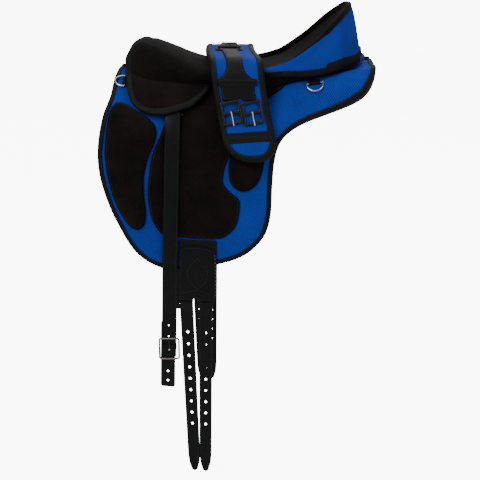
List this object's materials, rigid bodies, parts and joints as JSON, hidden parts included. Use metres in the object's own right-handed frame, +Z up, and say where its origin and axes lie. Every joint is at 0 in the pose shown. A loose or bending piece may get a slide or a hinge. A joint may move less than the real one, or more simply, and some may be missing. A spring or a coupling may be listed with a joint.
{
  "type": "treeless saddle",
  "caption": "Treeless riding saddle with a padded seat, mesh flaps, knee blocks, a laid-over girth, billets and stirrup straps.",
  "frame": {"origin": "on the ridge line of the spine channel, at the middle of the saddle", "axes": "+X to the cantle, +Y to the right side of the horse, +Z up"},
  "size_m": [0.5739, 0.4622, 0.9966],
  "materials": {
    "blue_air_mesh": "matt",
    "black_suede": "matt",
    "black_binding": "satin",
    "panel_felt": "matt",
    "black_leather": "satin",
    "stiffener_board": "matt",
    "bright_steel": "polished",
    "dark_steel": "satin"
  },
  "bodies": {
    "saddle": {"base_left": "blue_air_mesh", "flap_binding_left": "black_binding", "panel_left": "panel_felt", "seat_skirt_left": "black_suede", "thigh_patch_left": "black_suede", "knee_block_left": "black_suede", "thigh_block_left": "black_suede", "billet_tab_left": "black_binding", "billet_patch_left": "black_leather", "d_keeper_rear_left": "black_binding", "d_keeper_front_left": "black_binding", "base_right": "blue_air_mesh", "flap_binding_right": "black_binding", "panel_right": "panel_felt", "seat_skirt_right": "black_suede", "thigh_patch_right": "black_suede", "knee_block_right": "black_suede", "thigh_block_right": "black_suede", "billet_tab_right": "black_binding", "billet_patch_right": "black_leather", "d_keeper_rear_right": "black_binding", "d_keeper_front_right": "black_binding", "spine_strip": "black_binding", "pommel_arch": "stiffener_board", "cantle_stiffener": "stiffener_board", "seat_cushion": "black_suede", "rim_roll": "black_binding", "cover_binding": "black_binding", "stirrup_webbing": "black_binding", "stirrup_ring_left": "dark_steel", "stirrup_ring_right": "dark_steel"},
    "billet_front_left": {"billet_front_left": "black_leather"},
    "billet_rear_left": {"billet_rear_left": "black_leather"},
    "stirrup_strap_left": {"stirrup_leather_left": "black_leather", "stirrup_buckle_left": "bright_steel"},
    "stirrup_tongue_left": {"stirrup_tongue_left": "dark_steel"},
    "d_ring_rear_left": {"d_ring_rear_left": "bright_steel"},
    "d_ring_front_left": {"d_ring_front_left": "bright_steel"},
    "billet_front_right": {"billet_front_right": "black_leather"},
    "billet_rear_right": {"billet_rear_right": "black_leather"},
    "stirrup_strap_right": {"stirrup_leather_right": "black_leather", "stirrup_buckle_right": "bright_steel"},
    "stirrup_tongue_right": {"stirrup_tongue_right": "dark_steel"},
    "d_ring_rear_right": {"d_ring_rear_right": "bright_steel"},
    "d_ring_front_right": {"d_ring_front_right": "bright_steel"},
    "girth": {"girth_pad": "blue_air_mesh", "girth_binding": "black_binding", "girth_ring": "dark_steel", "girth_strap_left": "black_leather", "girth_strap_right": "black_leather", "girth_buckle_front_left": "dark_steel", "girth_buckle_front_right": "dark_steel", "girth_buckle_rear_left": "dark_steel", "girth_buckle_rear_right": "dark_steel"},
    "girth_tongue_front_left": {"girth_tongue_front_left": "bright_steel"},
    "girth_tongue_front_right": {"girth_tongue_front_right": "bright_steel"},
    "girth_tongue_rear_left": {"girth_tongue_rear_left": "bright_steel"},
    "girth_tongue_rear_right": {"girth_tongue_rear_right": "bright_steel"}
  },
  "joints": [
    {"name": "billet_front_left_swing", "type": "hinge", "parent": "saddle", "child": "billet_front_left", "pos_m": [-0.112, -0.22931, -0.42567], "axis": [-1, 0, 0], "range_deg": [-20, 80]},
    {"name": "billet_rear_left_swing", "type": "hinge", "parent": "saddle", "child": "billet_rear_left", "pos_m": [-0.0715, -0.22931, -0.42777], "axis": [-1, 0, 0], "range_deg": [-20, 80]},
    {"name": "stirrup_strap_left_swing", "type": "hinge", "parent": "saddle", "child": "stirrup_strap_left", "pos_m": [-0.136, -0.16439, -0.04319], "axis": [-0.9963, 0, 0.0861], "range_deg": [0, 60]},
    {"name": "stirrup_tongue_left_turn", "type": "hinge", "parent": "stirrup_strap_left", "child": "stirrup_tongue_left", "pos_m": [-0.15015, -0.2275, -0.50944], "axis": [-1, 0, 0], "range_deg": [0, 100]},
    {"name": "d_ring_rear_left_lift", "type": "hinge", "parent": "saddle", "child": "d_ring_rear_left", "pos_m": [0.152, -0.13399, 0.01549], "axis": [-0.9912, 0, -0.1327], "range_deg": [0, 90]},
    {"name": "d_ring_front_left_lift", "type": "hinge", "parent": "saddle", "child": "d_ring_front_left", "pos_m": [-0.2395, -0.09999, 0.01441], "axis": [0, 0.8693, 0.4943], "range_deg": [0, 90]},
    {"name": "billet_front_right_swing", "type": "hinge", "parent": "saddle", "child": "billet_front_right", "pos_m": [-0.112, 0.22931, -0.42567], "axis": [1, 0, 0], "range_deg": [-20, 80]},
    {"name": "billet_rear_right_swing", "type": "hinge", "parent": "saddle", "child": "billet_rear_right", "pos_m": [-0.0715, 0.22931, -0.42777], "axis": [1, 0, 0], "range_deg": [-20, 80]},
    {"name": "stirrup_strap_right_swing", "type": "hinge", "parent": "saddle", "child": "stirrup_strap_right", "pos_m": [-0.136, 0.16439, -0.04319], "axis": [0.9963, 0, -0.0861], "range_deg": [0, 60]},
    {"name": "stirrup_tongue_right_turn", "type": "hinge", "parent": "stirrup_strap_right", "child": "stirrup_tongue_right", "pos_m": [-0.15015, 0.2275, -0.50944], "axis": [1, 0, 0], "range_deg": [0, 100]},
    {"name": "d_ring_rear_right_lift", "type": "hinge", "parent": "saddle", "child": "d_ring_rear_right", "pos_m": [0.152, 0.13399, 0.01549], "axis": [0.9912, 0, 0.1327], "range_deg": [0, 90]},
    {"name": "d_ring_front_right_lift", "type": "hinge", "parent": "saddle", "child": "d_ring_front_right", "pos_m": [-0.2395, 0.09999, 0.01441], "axis": [0, 0.8693, -0.4943], "range_deg": [0, 90]},
    {"name": "girth_lift", "type": "slide", "parent": "saddle", "child": "girth", "axis": [0, 0, 1], "range_m": [0, 0.25]},
    {"name": "girth_tongue_front_left_turn", "type": "hinge", "parent": "girth", "child": "girth_tongue_front_left", "pos_m": [-0.01757, -0.18945, -0.03511], "axis": [-0.9823, -0.0565, -0.1787], "range_deg": [0, 100]},
    {"name": "girth_tongue_front_right_turn", "type": "hinge", "parent": "girth", "child": "girth_tongue_front_right", "pos_m": [-0.04139, 0.18955, -0.03544], "axis": [0.9966, -0.0248, 0.0785], "range_deg": [0, 100]},
    {"name": "girth_tongue_rear_left_turn", "type": "hinge", "parent": "girth", "child": "girth_tongue_rear_left", "pos_m": [0.02441, -0.18828, -0.03538], "axis": [-0.9825, -0.0562, -0.1777], "range_deg": [0, 100]},
    {"name": "girth_tongue_rear_right_turn", "type": "hinge", "parent": "girth", "child": "girth_tongue_rear_right", "pos_m": [0.0006, 0.18839, -0.0357], "axis": [0.9966, -0.0247, 0.078], "range_deg": [0, 100]}
  ]
}
